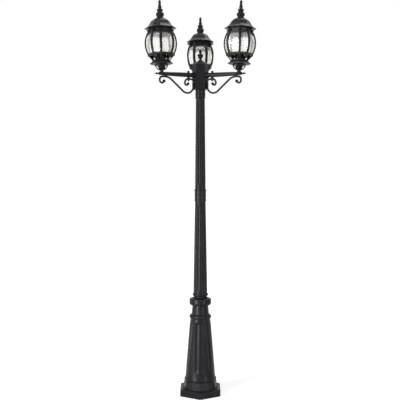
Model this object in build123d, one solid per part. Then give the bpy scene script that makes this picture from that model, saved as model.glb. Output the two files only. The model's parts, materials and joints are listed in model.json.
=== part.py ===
from build123d import *
import math
import os

# Outdoor lamp post with three lantern heads, in millimetres.
# Origin on the post's axis at the ground, +Z up, rear arm along +Y, the other two 120 degrees either side.

# Clearances
fit = 0.1  # radial, a spigot in its bore
play = 0.08  # radial, a piece that turns on or in another
lift = 0.2  # under a piece that turns or lifts off

# Base plate
plate_corner = 132.0
plate_height = 38.0
plate_wall = 9.0
plate_web = 12.0
plate_round = 6.0
anchor_clear = 0.5  # between an anchor boss and the column's foot
anchor_hole = 6.5
anchor_boss = 13.0
anchor_boss_rise = 1.5
cable_hole = 42.0

# Screws that hold the column on the plate
column_screw_circle = 78.0
column_screw = 3.5
column_screw_head = 6.0
column_screw_head_height = 6.0
column_screw_grip = 9.0

# Base column
column_sides = 12
foot_corner = 100.0
foot_neck = 92.0
foot_height = 42.0
foot_bead = 92.5
foot_bead_height = 26.0
column_bottom = 85.5
column_top = 57.5
column_length = 328.0
column_wall = 8.0
column_floor = 12.0
column_ring = 63.0
column_ring_height = 26.0
column_neck_bottom = 50.0
column_neck_top = 46.0
column_neck_height = 50.0

# Round collar between the column and the lower shaft
collar_radius = 63.0
collar_height = 46.0
collar_foot = 49.0
collar_lip = 44.0

# Lower shaft
spigot = 36.0
spigot_length = 104.0
shaft_neck = 38.5
shaft_neck_height = 8.0
shaft_bead = 46.0
shaft_bead_height = 16.0
lower_bottom = 40.3
lower_top = 30.7
lower_length = 531.0
lower_plain = 18.0  # unfluted length above the flutes
lower_bore_bottom = 31.0

# Coupling and upper shaft
tenon = 27.0
tenon_length = 34.0
tenon_wall = 5.0
coupling_length = 70.0
coupling_radius = 32.8
coupling_band = 34.3
coupling_band_height = 12.0
upper_bottom = 30.5
upper_top = 25.8
upper_length = 526.0
upper_plain = 22.0
upper_tenon = 20.0
upper_tenon_length = 34.0
upper_bore = 16.0

# Flutes of both shafts and the column
flute_count = 12
flute_share = 0.83  # of the pitch, the rest is the ridge
flute_curve = 0.45  # flute radius over the local shaft radius
flute_margin = 7.0

# Fitter that carries the hub
fitter_length = 50.0
fitter_radius = 28.6
fitter_ring = 30.6
fitter_ring_height = 4.0
fitter_ring_heights = (0.0, 20.0)
fitter_screw = 3.0
fitter_screw_height = 30.0
fitter_screw_count = 3
fitter_spigot_length = 11.0

# Hub
hub_corner = 47.5
hub_height = 132.0
hub_floor = 12.0
hub_chamber = 33.0
hub_round = 2.0
cap_height = 31.0
cap_lip = 6.0
cap_seat = 14.0
cap_wall = 5.0
hub_finial_height = 75.0
hub_finial_bulb = 17.7
hub_finial_bud = 10.8
hub_finial_foot = 13.0
hub_finial_neck = 4.8
hub_finial_stud = 4.0
hub_finial_stud_length = 10.0

# Arms
arm_angles = {"rear": 90.0, "left": 210.0, "right": 330.0}
arm_height = 82.0  # above the hub's foot
arm_droop = 2.0  # degrees
lantern_reach = 250.0
boss_radius = 17.0
boss_end = 52.0
root_radius = 9.0
root_start = 30.0
arm_thick = 13.0
arm_middle = 12.3
arm_thin = 8.2
arm_past_seat = 1.5
arm_bore = 4.5
seat_radius = 12.5
seat_rise = 11.0
tip_length = 34.0
tip_collar = 9.2
tip_bud = 5.6
tip_neck = 3.6
tip_stud = 3.0
tip_stud_length = 5.0
tip_gap = 0.05  # between the arm's end face and the tip's collar

# Bolt through the arm and the short scroll
bolt_reach = 79.0
bolt_radius = 3.0
bolt_pad = 8.0
bolt_pad_rise = 14.0
knob_radius = 6.5
knob_height = 11.0
knob_dome = 6.0
nut_radius = 5.8
nut_height = 4.5
bolt_past_nut = 2.0

# Scrolls, in the arm's own plane
bar = 5.5
eye_radius = 8.0
ball_radius = 8.0
curl_end = 7.5
short_curl = 24.0
short_curl_drop = 4.0
short_root_drop = 10.5
long_curl = 18.0
long_curl_drop = 10.0
long_curl_gap = 0.3  # under the arm
long_curl_reach = 246.0
bowl_radius = 42.0
bowl_depth = 102.6
diagonal_slope = 41.1
diagonal_bend = 60.0
leg_top = 43.0
pad_width = 14.0
pad_thick = 3.0
pad_top = 41.0
pad_bottom = 72.0
scroll_screw_drop = 52.0
scroll_screw = 2.5
scroll_screw_head = 4.5
scroll_screw_head_height = 3.0
scroll_screw_length = 22.0

# Stem under each lantern
stem_length = 39.0
stem_neck = 10.8
stem_body = 12.2
stem_flange = 40.0
stem_flange_height = 6.0
stem_leg_width = 7.0
stem_leg_bulge = 5.0
stem_leg_thick = 6.0
stem_leg_foot = 7.0
stem_leg_count = 4
wire_hole = 4.5

# Saucer
saucer_corner = 64.0
saucer_step_corner = 55.0
saucer_rim_height = 9.0
saucer_height = 20.0

# Cage: an eight-sided barrel whose corners carry the ribs
wide_half = 26.5  # half the angle of a wide face, in degrees
rib_curve = 143.0
belly_corner = 91.0
belly_height = 103.0  # above the saucer
rib_width = 16.5
rib_thick = 4.5
foot_ring_height = 5.0
foot_ring_width = 9.0
ring_bottom = 37.0
ring_height = 11.0
ring_width = 15.0
glass_height = 113.0
top_ring_height = 5.0
top_ring_inner = 61.0
frieze_corner = 71.5
frieze_height = 17.5
frieze_wall = 3.5
ear_outer = 7.5
ear_inner = 3.2
ear_width = 14.0
pane_thick = 3.0
pane_gap = 1.0
pane_tuck = 0.15
pane_end_gap = 0.3

# Socket cup, lamp holder and bulb
cup_radius = 34.0
cup_wall = 1.5
cup_height = 37.0
holder_radius = 17.5
holder_height = 36.0
holder_floor = 11.0
bulb_base = 13.0
bulb_base_length = 26.0
bulb_radius = 17.5
bulb_length = 86.0
bulb_tip = 5.0

# Hood and its strap
hood_corner = 89.5
hood_height = 55.5
hood_lip = 3.0
hood_wall = 3.0
hood_shoulder = 55.6
hood_shoulder_height = 30.0
hood_top = 25.0
hood_mouth = 61.0
hood_ledge = 3.0
hood_hole = 3.6
strap_width = 12.0
strap_thick = 3.0
strap_end_gap = 0.3
rod_radius = 3.0
rod_above_hood = 16.0

# Lantern finial
finial_height = 106.0
finial_foot = 19.5
finial_vase = 22.5
finial_disc = 17.3
finial_ring = 10.2
finial_tip = 6.6
finial_flutes = 8
finial_flute_radius = 5.0
finial_flute_length = 24.0

far = 400.0  # longer than any piece that it cuts across

# Heights of the stack above the ground
column_z = plate_height
collar_z = column_z + foot_height + foot_bead_height + column_length + column_ring_height + column_neck_height
lower_z = collar_z + collar_height
coupling_z = lower_z + shaft_neck_height + shaft_bead_height + lower_length
upper_z = coupling_z + coupling_length
fitter_z = upper_z + upper_length
hub_z = fitter_z + fitter_length
cap_z = hub_z + hub_height
finial_z = cap_z + cap_height
arm_z = hub_z + arm_height

# Heights in a lantern above its arm's axis
stem_z = seat_rise
saucer_z = stem_z + stem_length
cage_z = saucer_z + saucer_height
ring_z = cage_z + ring_bottom
glass_z = ring_z + ring_height
top_ring_z = glass_z + glass_height
frieze_z = top_ring_z + top_ring_height
hood_z = frieze_z + frieze_height + lift
hood_top_z = hood_z + hood_height

anchor_circle = foot_corner + anchor_clear + anchor_boss  # radius of the anchor bolt circle
hub_apothem = hub_corner * math.cos(math.radians(30))
narrow_half = 45.0 - wide_half
lantern_faces = [(0, wide_half), (90, wide_half), (45, narrow_half), (135, narrow_half)]
hub_faces = [(30, 30), (90, 30), (150, 30)]
rib_angles = [wide_half, -wide_half, 90 + wide_half, 90 - wide_half]


def outline(start, steps, squeeze=1.0):
    """Edges of a profile in the XZ plane. A step is a point, or a pair of points for an arc."""
    edges, here = [], start
    for step in steps:
        is_arc = isinstance(step[0], tuple)
        there = step[1] if is_arc else step
        ends = [(here[0] * squeeze, 0, here[1]), (there[0] * squeeze, 0, there[1])]
        if is_arc:
            edges.append(ThreePointArc(ends[0], (step[0][0] * squeeze, 0, step[0][1]), ends[1]))
        else:
            edges.append(Line(*ends))
        here = there
    return edges


def profile(start, *steps):
    """Closed face in the XZ plane."""
    return make_face(outline(start, [*steps, start]))


def turned(start, *steps):
    """Solid of revolution about Z from its closed half profile."""
    return revolve(profile(start, *steps), Axis.Z)


def faceted(faces, start, *steps):
    """Many-sided body about Z. The half profile, from axis to axis, is that of its corners."""
    body = None
    for direction, half in faces:
        squeeze = math.cos(math.radians(half))
        face = make_face(outline(start, steps, squeeze) + outline(start, steps, -squeeze))
        slab = Rot(0, 0, direction) * extrude(face, far, dir=(0, 1, 0), both=True)
        body = slab if body is None else body & slab
    return body


def dome(radius, base, height):
    """Outline step from the edge of a spherical dome to its top on the axis."""
    sphere = (radius**2 + height**2) / (2 * height)
    half = math.asin(min(1.0, radius / sphere)) / 2
    top = base + height
    return ((sphere * math.sin(half), top - sphere + sphere * math.cos(half)), (0, top))


def cylinder(radius, bottom, top):
    return Pos(0, 0, bottom) * Cylinder(radius, top - bottom, align=(Align.CENTER, Align.CENTER, Align.MIN))


def slab(width, thick, bottom, top):
    """Upright slab through the Z axis: width along X, thick along Y."""
    return Pos(0, 0, bottom) * Box(width, thick, top - bottom, align=(Align.CENTER, Align.CENTER, Align.MIN))


def around(count, radius, piece, first=0.0):
    """Copies of a piece on a circle about Z."""
    return [Rot(0, 0, first + 360 * k / count) * Pos(radius, 0, 0) * piece for k in range(count)]


def capsule(foot, head, foot_radius, head_radius):
    """Round-ended cone between two points of the XZ plane."""
    length = math.dist(foot, head)
    tilt = math.asin((foot_radius - head_radius) / length)
    c, s = math.cos(tilt), math.sin(tilt)
    side = turned(
        (0, -foot_radius),
        ((foot_radius * math.cos((tilt - math.pi / 2) / 2), foot_radius * math.sin((tilt - math.pi / 2) / 2)),
         (foot_radius * c, foot_radius * s)),
        (head_radius * c, length + head_radius * s),
        ((head_radius * math.cos((tilt + math.pi / 2) / 2), length + head_radius * math.sin((tilt + math.pi / 2) / 2)),
         (0, length + head_radius)),
    )
    lean = math.degrees(math.atan2(head[0] - foot[0], head[1] - foot[1]))
    return Pos(foot[0], 0, foot[1]) * Rot(0, lean, 0) * side


def flutes(bottom_radius, top_radius, bottom, top):
    """Round-ended flute cutters for a tapered shaft, ridges kept between them."""
    half = math.radians(180 / flute_count * flute_share)
    reach = math.cos(half) + math.sqrt(flute_curve**2 - math.sin(half) ** 2)
    cutter = capsule(
        (bottom_radius * reach, bottom + bottom_radius * flute_curve),
        (top_radius * reach, top - top_radius * flute_curve),
        bottom_radius * flute_curve,
        top_radius * flute_curve,
    )
    return around(flute_count, 0, cutter, 270 + 180 / flute_count)


def flute_floor(radius):
    """Distance from the axis to the bottom of a flute."""
    half = math.radians(180 / flute_count * flute_share)
    return radius * (math.cos(half) + math.sqrt(flute_curve**2 - math.sin(half) ** 2) - flute_curve)


def taper(bottom_radius, top_radius, share):
    return bottom_radius + (top_radius - bottom_radius) * share


# Post


def base_plate():
    prism = extrude(RegularPolygon(plate_corner, 6, rotation=30), plate_height)
    prism = fillet(prism.edges().filter_by(Axis.Z), plate_round)
    inner_corner = plate_corner - plate_wall / math.cos(math.radians(30))
    pocket = extrude(RegularPolygon(inner_corner, 6, rotation=30), plate_height - plate_web)
    pocket -= around(6, anchor_circle, cylinder(anchor_boss, 0, plate_height), 30)
    plate = prism - pocket
    plate += around(6, anchor_circle, cylinder(anchor_boss, plate_height - plate_web, plate_height + anchor_boss_rise), 30)
    plate -= around(6, anchor_circle, cylinder(anchor_hole, 0, plate_height + anchor_boss_rise), 30)
    plate -= around(6, column_screw_circle, cylinder(column_screw + fit, 0, plate_height))
    return plate - cylinder(cable_hole, 0, plate_height)


def column_screws():
    under = plate_height - plate_web
    screw = cylinder(column_screw, under - column_screw_head_height, plate_height + column_screw_grip)
    screw += cylinder(column_screw_head, under - column_screw_head_height, under)
    return around(6, column_screw_circle, screw)


def base_column():
    bell_top = column_z + foot_height
    bead_top = bell_top + foot_bead_height
    shaft_top = bead_top + column_length
    ring_top = shaft_top + column_ring_height
    foot = loft(
        [
            Pos(0, 0, column_z) * RegularPolygon(foot_corner, column_sides, rotation=30),
            Pos(0, 0, bell_top) * RegularPolygon(foot_neck, column_sides, rotation=30),
        ],
        ruled=True,
    )
    cove = foot_bead_height / 4
    column = turned(
        (0, bell_top),
        (foot_neck - 4, bell_top),
        (foot_neck - 4, bell_top + cove / 2),
        ((foot_bead, bell_top + cove / 2 + cove), (foot_neck - 4, bell_top + cove / 2 + 2 * cove)),
        (column_bottom, bead_top),
        (column_top, shaft_top),
        ((column_ring, shaft_top + column_ring_height / 2), (column_neck_bottom + 2, ring_top)),
        (column_neck_bottom, ring_top),
        (column_neck_top, collar_z),
        (0, collar_z),
    )
    column = foot + column
    column -= flutes(column_bottom, column_top, bead_top + flute_margin, shaft_top - flute_margin / 2)
    socket_bottom = lower_z - spigot_length
    column -= turned(
        (0, column_z + column_floor),
        (flute_floor(column_bottom) - column_wall, column_z + column_floor),
        (flute_floor(column_bottom) - column_wall, bead_top),
        (flute_floor(column_top) - column_wall, shaft_top - flute_margin),
        (spigot - tenon_wall, shaft_top),
        (spigot - tenon_wall, socket_bottom),
        (spigot + fit, socket_bottom),
        (spigot + fit, collar_z),
        (0, collar_z),
    )
    column -= cylinder(cable_hole, column_z, column_z + column_floor)
    return column - around(6, column_screw_circle, cylinder(column_screw + fit, column_z, column_z + column_screw_grip + fit))


def base_collar():
    shoulder = collar_height * 0.4
    collar = turned(
        (0, collar_z),
        (collar_foot, collar_z),
        ((collar_radius - 2.5, collar_z + shoulder / 3), (collar_radius, collar_z + shoulder)),
        (collar_radius, lower_z - 11),
        ((collar_radius - 2, lower_z - 7), (collar_radius - 5, lower_z - 5.5)),
        (collar_lip, lower_z),
        (0, lower_z),
    )
    return collar - cylinder(spigot + fit, collar_z, lower_z)


def lower_shaft():
    bead_z = lower_z + shaft_neck_height
    shaft_z = bead_z + shaft_bead_height
    foot = lower_z - spigot_length
    bore_top = tenon - tenon_wall
    shaft = turned(
        (0, foot),
        (spigot, foot),
        (spigot, lower_z),
        (shaft_neck, lower_z),
        (shaft_neck, bead_z),
        ((shaft_bead, bead_z + shaft_bead_height / 2), (lower_bottom, shaft_z)),
        (lower_top, coupling_z),
        (tenon, coupling_z),
        (tenon, coupling_z + tenon_length),
        (0, coupling_z + tenon_length),
    )
    fluted = coupling_z - lower_plain
    end = taper(lower_bottom, lower_top, (fluted - shaft_z) / lower_length)
    shaft -= flutes(lower_bottom, end, shaft_z + flute_margin, fluted)
    return shaft - turned(
        (0, foot),
        (lower_bore_bottom, foot),
        (lower_bore_bottom, shaft_z),
        (bore_top, coupling_z),
        (bore_top, coupling_z + tenon_length),
        (0, coupling_z + tenon_length),
    )


def shaft_coupling():
    band_top = upper_z - coupling_band_height
    sleeve = turned(
        (0, coupling_z),
        (coupling_band - 1, coupling_z),
        ((coupling_band, coupling_z + coupling_band_height / 2), (coupling_band - 1, coupling_z + coupling_band_height)),
        (coupling_radius, coupling_z + coupling_band_height),
        (coupling_radius, band_top),
        (coupling_band - 1, band_top),
        ((coupling_band, band_top + coupling_band_height / 2), (coupling_band - 1, upper_z)),
        (0, upper_z),
    )
    return sleeve - cylinder(tenon + fit, coupling_z, upper_z)


def upper_shaft():
    bore_bottom = tenon - tenon_wall
    shaft = turned(
        (0, upper_z - tenon_length),
        (tenon, upper_z - tenon_length),
        (tenon, upper_z),
        (upper_bottom, upper_z),
        (upper_top, fitter_z),
        (upper_tenon, fitter_z),
        (upper_tenon, fitter_z + upper_tenon_length),
        (0, fitter_z + upper_tenon_length),
    )
    fluted = fitter_z - flute_margin / 2
    bottom = upper_z + upper_plain
    start = taper(upper_bottom, upper_top, (bottom - upper_z) / upper_length)
    end = taper(upper_bottom, upper_top, (fluted - upper_z) / upper_length)
    shaft -= flutes(start, end, bottom, fluted)
    return shaft - turned(
        (0, upper_z - tenon_length),
        (bore_bottom, upper_z - tenon_length),
        (bore_bottom, upper_z),
        (upper_bore, fitter_z - flute_margin),
        (upper_bore, fitter_z + upper_tenon_length),
        (0, fitter_z + upper_tenon_length),
    )


def hub_fitter():
    fitter = cylinder(fitter_radius, fitter_z, hub_z)
    for height in fitter_ring_heights:
        low = fitter_z + height
        fitter += turned(
            (0, low),
            (fitter_radius, low),
            ((fitter_ring, low + fitter_ring_height / 2), (fitter_radius, low + fitter_ring_height)),
            (0, low + fitter_ring_height),
        )
    fitter += cylinder(upper_tenon, hub_z, hub_z + fitter_spigot_length)
    fitter -= cylinder(upper_tenon + fit, fitter_z, fitter_z + upper_tenon_length)
    fitter -= cylinder(upper_bore, fitter_z, hub_z + fitter_spigot_length)
    return fitter - fitter_screw_set(fit)


def fitter_screw_set(clearance=0.0):
    """Grub screws that press on the upper shaft's tenon, flush with the fitter."""
    screw = Rot(0, 90, 0) * cylinder(fitter_screw + clearance, upper_tenon + fit, fitter_radius - 0.3 + clearance * 10)
    return [Pos(0, 0, fitter_z + fitter_screw_height) * s for s in around(fitter_screw_count, 0, screw, 30)]


def hub_body():
    hub = extrude(Pos(0, 0, hub_z) * RegularPolygon(hub_corner, 6, rotation=0), hub_height)
    hub = fillet(hub.edges().filter_by(Axis.Z), hub_round)
    for name in arm_angles:
        hub += in_arm(name, Rot(0, 90, 0) * cylinder(boss_radius, root_start, boss_end))
    hub -= cylinder(hub_chamber, hub_z + hub_floor, cap_z)
    hub -= cylinder(upper_tenon + fit, hub_z, hub_z + hub_floor)
    for name in arm_angles:
        hub -= in_arm(name, Rot(0, 90, 0) * cylinder(root_radius + fit, 0, boss_end))
        hub -= in_arm(name, scroll_screw_shank(fit))
    return hub


def hub_cap():
    cap = faceted(
        hub_faces,
        (0, cap_z),
        (hub_corner, cap_z),
        (hub_corner, cap_z + 5),
        ((hub_corner * 0.83, cap_z + cap_height * 0.71), (hub_corner * 0.55, cap_z + cap_height - 3)),
        (cap_seat, cap_z + cap_height),
        (0, cap_z + cap_height),
    )
    cap += cylinder(hub_chamber - fit, cap_z - cap_lip, cap_z)
    cap -= cylinder(hub_chamber - cap_wall, cap_z - cap_lip, cap_z + cap_height - hub_finial_stud_length - cap_wall)
    return cap - cylinder(hub_finial_stud + fit, cap_z, cap_z + cap_height)


def hub_finial():
    h = hub_finial_height
    stud_z = finial_z - hub_finial_stud_length
    return turned(
        (0, stud_z),
        (hub_finial_stud, stud_z),
        (hub_finial_stud, finial_z),
        (hub_finial_foot, finial_z),
        (hub_finial_foot, finial_z + 4),
        ((7.5, finial_z + h * 0.11), (6.5, finial_z + h * 0.24)),
        ((hub_finial_bulb, finial_z + h * 0.47), (hub_finial_neck + 2, finial_z + h * 0.61)),
        (hub_finial_neck, finial_z + h * 0.66),
        ((hub_finial_bud, finial_z + h * 0.79), (3.0, finial_z + h * 0.92)),
        (0, finial_z + h),
    )


# Arms: each is built along +X with the arm's axis on the X axis, then turned, drooped and raised


def in_arm(name, piece):
    return Pos(0, 0, arm_z) * Rot(0, 0, arm_angles[name]) * Rot(0, arm_droop, 0) * piece


def in_lantern(name, piece):
    return in_arm(name, Pos(lantern_reach, 0, 0) * piece)


def along_x(start, *steps):
    """Solid of revolution about X from a half profile given as distance along X and radius."""
    flipped = [((s[0][1], s[0][0]), (s[1][1], s[1][0])) if isinstance(s[0], tuple) else (s[1], s[0]) for s in steps]
    return Rot(0, 90, 0) * turned((start[1], start[0]), *flipped)


arm_end = lantern_reach + seat_radius + arm_past_seat
arm_control = 2 * arm_middle - (arm_thick + arm_thin) / 2  # radius of the taper's middle control point


def arm_radius(x):
    """Radius of the arm at a distance along it: the parabola through its three driving radii."""
    share = (x - boss_end) / (arm_end - boss_end)
    return arm_thick * (1 - share) ** 2 + 2 * arm_control * share * (1 - share) + arm_thin * share**2


def arm():
    straight = [(0, arm_end), (0, root_start), (root_radius, root_start), (root_radius, boss_end), (arm_thick, boss_end)]
    middle = (arm_control, 0, (boss_end + arm_end) / 2)
    bowed = Bezier((arm_thick, 0, boss_end), middle, (arm_thin, 0, arm_end))
    body = Rot(0, 90, 0) * revolve(make_face([*outline((arm_thin, arm_end), straight), bowed]), Axis.Z)
    body += Pos(bolt_reach, 0, 0) * cylinder(bolt_pad, -bolt_pad_rise, bolt_pad_rise)
    body += Pos(lantern_reach, 0, 0) * cylinder(seat_radius, -arm_thin * 0.6, seat_rise)
    body -= Rot(0, 90, 0) * cylinder(arm_bore, root_start, lantern_reach)
    body -= Pos(lantern_reach, 0, 0) * cylinder(wire_hole, 0, seat_rise)
    body -= Rot(0, 90, 0) * cylinder(tip_stud + fit, arm_end - tip_stud_length, arm_end)
    return body - Pos(bolt_reach, 0, 0) * cylinder(bolt_radius + fit, -bolt_pad_rise, bolt_pad_rise)


def arm_tip():
    foot = arm_end + tip_gap
    return along_x(
        (arm_end - tip_stud_length + tip_gap, 0),
        (arm_end - tip_stud_length + tip_gap, tip_stud),
        (foot, tip_stud),
        (foot, tip_collar - 1),
        ((foot + 2, tip_collar), (foot + 4, tip_collar - 1.5)),
        ((foot + 6.5, tip_neck + 0.6), (foot + 10, tip_neck)),
        ((foot + tip_length * 0.47, tip_bud), (foot + tip_length * 0.7, tip_bud * 0.57)),
        (foot + tip_length, 0),
    )


def bolt_and_nut():
    nut_top = -bolt_pad_rise - 2 * eye_radius
    bolt = cylinder(bolt_radius, nut_top - nut_height - bolt_past_nut, bolt_pad_rise)
    bolt += turned(
        (0, bolt_pad_rise),
        (knob_radius, bolt_pad_rise),
        (knob_radius, bolt_pad_rise + knob_height - knob_dome),
        dome(knob_radius, bolt_pad_rise + knob_height - knob_dome, knob_dome),
    )
    nut = extrude(Pos(0, 0, nut_top - nut_height) * RegularPolygon(nut_radius, 6), nut_height)
    nut -= cylinder(bolt_radius + fit / 2, nut_top - nut_height, nut_top)
    return [Pos(bolt_reach, 0, 0) * piece for piece in (bolt, nut)]


def bar_along(path):
    """Round bar swept along connected lines and arcs of the XZ plane."""
    wire = Wire(path)
    start = wire.position_at(0)
    section = Plane(origin=start, z_dir=wire.tangent_at(0)) * Circle(bar)
    return sweep(section, path=wire)


def polar(centre, radius, angle):
    a = math.radians(angle)
    return (centre[0] + radius * math.cos(a), centre[1] + radius * math.sin(a))


def bend(centre, radius, first, last):
    """Arc from one polar angle to another, as an outline step."""
    return (polar(centre, radius, (first + last) / 2), polar(centre, radius, last))


def curl_steps(top, radius, drop):
    """Path from the top of a curl, outward, down and in to its ball. Returns steps and the ball's centre."""
    centre = (top[0], top[1] - radius)
    low = (top[0] + radius - curl_end, centre[1] - drop)
    ball = polar(low, curl_end, -160)
    return [bend(centre, radius, 90, 0), (top[0] + radius, low[1]), bend(low, curl_end, 0, -160)], ball


eye_z = -bolt_pad_rise - eye_radius


def short_scroll():
    top = (bolt_reach, eye_z)
    start_x = hub_apothem - 6
    span = bolt_reach - start_x
    sweep_radius = (span**2 + short_root_drop**2) / (2 * short_root_drop)
    centre = (bolt_reach, eye_z - sweep_radius)
    first = 90 + math.degrees(math.asin(span / sweep_radius))
    steps, ball = curl_steps(top, short_curl, short_curl_drop)
    path = outline(polar(centre, sweep_radius, first), [bend(centre, sweep_radius, first, 90), *steps])
    scroll = bar_along(path) + Pos(ball[0], 0, ball[1]) * Sphere(ball_radius)
    scroll += Pos(*[top[0], 0, 0]) * cylinder(eye_radius, eye_z - eye_radius, eye_z + eye_radius)
    scroll -= Pos(bolt_reach, 0, 0) * cylinder(bolt_radius + fit, eye_z - eye_radius, eye_z + eye_radius)
    return scroll - hub_in_arm()


def hub_in_arm():
    """The hub's hexagonal prism as seen from an arm's own frame, to trim what butts on it."""
    prism = extrude(Pos(0, 0, hub_z - arm_z) * RegularPolygon(hub_corner, 6, rotation=30), hub_height)
    return Rot(0, -arm_droop, 0) * prism


def long_scroll():
    leg_x = hub_apothem + pad_thick + bar - 1.5
    bowl = (leg_x + bowl_radius, -bowl_depth + bowl_radius)
    low_angle = -90 + diagonal_slope
    leave = polar(bowl, bowl_radius, low_angle)
    top_z = -arm_radius(long_curl_reach - diagonal_bend / 4) - long_curl_gap - bar
    corner_x = leave[0] + (top_z - leave[1]) / math.tan(math.radians(diagonal_slope))
    back = diagonal_bend * math.tan(math.radians(diagonal_slope / 2))
    bend_centre = (corner_x + back, top_z - diagonal_bend)
    top = (max(long_curl_reach, corner_x + back + 1), top_z)
    steps, ball = curl_steps(top, long_curl, long_curl_drop)
    path = outline(
        (leg_x, -leg_top),
        [
            (leg_x, bowl[1]),
            bend(bowl, bowl_radius, -180, low_angle),
            polar(bend_centre, diagonal_bend, 90 + diagonal_slope),
            bend(bend_centre, diagonal_bend, 90 + diagonal_slope, 90),
            top,
            *steps,
        ],
    )
    scroll = bar_along(path) + Pos(ball[0], 0, ball[1]) * Sphere(ball_radius)
    scroll += Pos(leg_x, 0, -leg_top) * Sphere(bar)
    pad_centre = (pad_top + pad_bottom) / 2
    pad = Box(leg_x - hub_apothem + 6, pad_width, pad_bottom - pad_top, align=(Align.MAX, Align.CENTER, Align.CENTER))
    scroll += Pos(leg_x, 0, -pad_centre) * pad
    return scroll - hub_in_arm() - scroll_screw_shank(fit)


def scroll_screw_shank(clearance=0.0):
    head_x = hub_apothem + pad_thick + 2 * bar - 1.5
    shank = cylinder(scroll_screw + clearance, head_x - scroll_screw_length, head_x)
    return Pos(0, 0, -scroll_screw_drop) * Rot(0, 90, 0) * shank


def scroll_screw_piece():
    head_x = hub_apothem + pad_thick + 2 * bar - 1.5
    head = turned(
        (0, head_x),
        (scroll_screw_head, head_x),
        dome(scroll_screw_head, head_x, scroll_screw_head_height),
    )
    return scroll_screw_shank() + Pos(0, 0, -scroll_screw_drop) * Rot(0, 90, 0) * head


# Lanterns: each is built on the Z axis, above its arm's axis at zero


def stem():
    flange_z = saucer_z - stem_flange_height
    body = turned(
        (0, stem_z),
        (stem_neck, stem_z),
        (stem_neck, stem_z + stem_length * 0.3),
        (stem_body, stem_z + stem_length * 0.36),
        (stem_body, flange_z),
        (stem_flange, flange_z),
        (stem_flange, saucer_z),
        (0, saucer_z),
    )
    foot = stem_z + stem_leg_foot
    head = flange_z + stem_flange_height / 2
    middle = ((stem_flange + stem_body) / 2, (foot + head) / 2)
    leg = profile(
        (stem_flange - 0.5, head),
        ((middle[0] + stem_leg_bulge, middle[1] - stem_leg_bulge), (stem_neck - 1, foot)),
        (stem_neck - 1, foot + stem_leg_thick),
        ((middle[0] + stem_leg_bulge - stem_leg_thick * 0.75, middle[1] - stem_leg_bulge + stem_leg_thick * 0.75),
         (stem_flange - stem_leg_thick, head)),
    )
    leg = extrude(leg, stem_leg_width / 2, dir=(0, 1, 0), both=True)
    body += around(stem_leg_count, 0, leg)
    return body - cylinder(wire_hole, stem_z, saucer_z)


def saucer():
    rim = saucer_z + saucer_rim_height
    plate = faceted(
        lantern_faces,
        (0, saucer_z),
        (saucer_corner - 12, saucer_z),
        (saucer_corner, saucer_z + saucer_rim_height * 0.5),
        (saucer_corner, rim),
        (saucer_corner - 3, rim),
        ((saucer_step_corner + 1, rim + 1.5), (saucer_step_corner, cage_z - 3)),
        (saucer_step_corner, cage_z),
        (0, cage_z),
    )
    return plate - cylinder(wire_hole, saucer_z, cage_z)


def socket_cup():
    cup = cylinder(cup_radius, cage_z, cage_z + cup_height)
    cup -= cylinder(cup_radius - cup_wall, cage_z + cup_wall, cage_z + cup_height)
    return cup - cylinder(wire_hole, cage_z, cage_z + cup_wall)


holder_z = cage_z + cup_wall
bulb_z = holder_z + holder_floor + lift


def lamp_holder():
    holder = cylinder(holder_radius, holder_z, holder_z + holder_height)
    holder -= cylinder(bulb_base + play, holder_z + holder_floor, holder_z + holder_height)
    return holder - cylinder(wire_hole, holder_z, holder_z + holder_floor)


def bulb_base_piece():
    top = bulb_z + bulb_base_length
    return turned(
        (0, bulb_z),
        (bulb_base * 0.45, bulb_z),
        (bulb_base, bulb_z + 3),
        (bulb_base, top),
        (0, top),
    )


def bulb_glass():
    low = bulb_z + bulb_base_length
    top = low + bulb_length
    return turned(
        (0, low),
        (bulb_base - 1, low),
        ((bulb_radius * 0.93, low + bulb_length * 0.16), (bulb_radius, low + bulb_length * 0.34)),
        ((bulb_radius * 0.62, low + bulb_length * 0.72), (bulb_tip * 0.5, top - 2)),
        (0, top),
    )


def barrel_corner(height, inset=0.0):
    """Corner radius of the cage's barrel at a height, on an arc about the belly."""
    return belly_corner - rib_curve + math.sqrt((rib_curve - inset) ** 2 - (height - cage_z - belly_height) ** 2)


def barrel(inset):
    """Solid eight-sided barrel, its corners inset from the ribs' outer arc."""
    middle = (cage_z + frieze_z) / 2
    return faceted(
        lantern_faces,
        (0, cage_z),
        (barrel_corner(cage_z, inset), cage_z),
        ((barrel_corner(middle, inset), middle), (barrel_corner(frieze_z, inset), frieze_z)),
        (0, frieze_z),
    )


def prism(corner, low, high):
    """Straight eight-sided prism."""
    return faceted(lantern_faces, (0, low), (corner, low), (corner, high), (0, high))


def ribs():
    shell = barrel(0) - barrel(rib_thick)
    return [shell & Rot(0, 0, angle) * slab(far, rib_width, cage_z, frieze_z) for angle in rib_angles]


def ears():
    """Curl on each rib's top: half a ring that leaves the rib and turns outward."""
    root = barrel_corner(top_ring_z)
    centre = (root + ear_inner, top_ring_z)
    hook = profile(
        polar(centre, ear_outer, 180),
        (polar(centre, ear_outer, 90), polar(centre, ear_outer, 0)),
        polar(centre, ear_inner, 0),
        (polar(centre, ear_inner, 90), polar(centre, ear_inner, 180)),
    )
    hook = extrude(hook, ear_width / 2, dir=(0, 1, 0), both=True)
    return [Rot(0, 0, angle + turn) * hook for angle in rib_angles for turn in (0, 180)]


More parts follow.
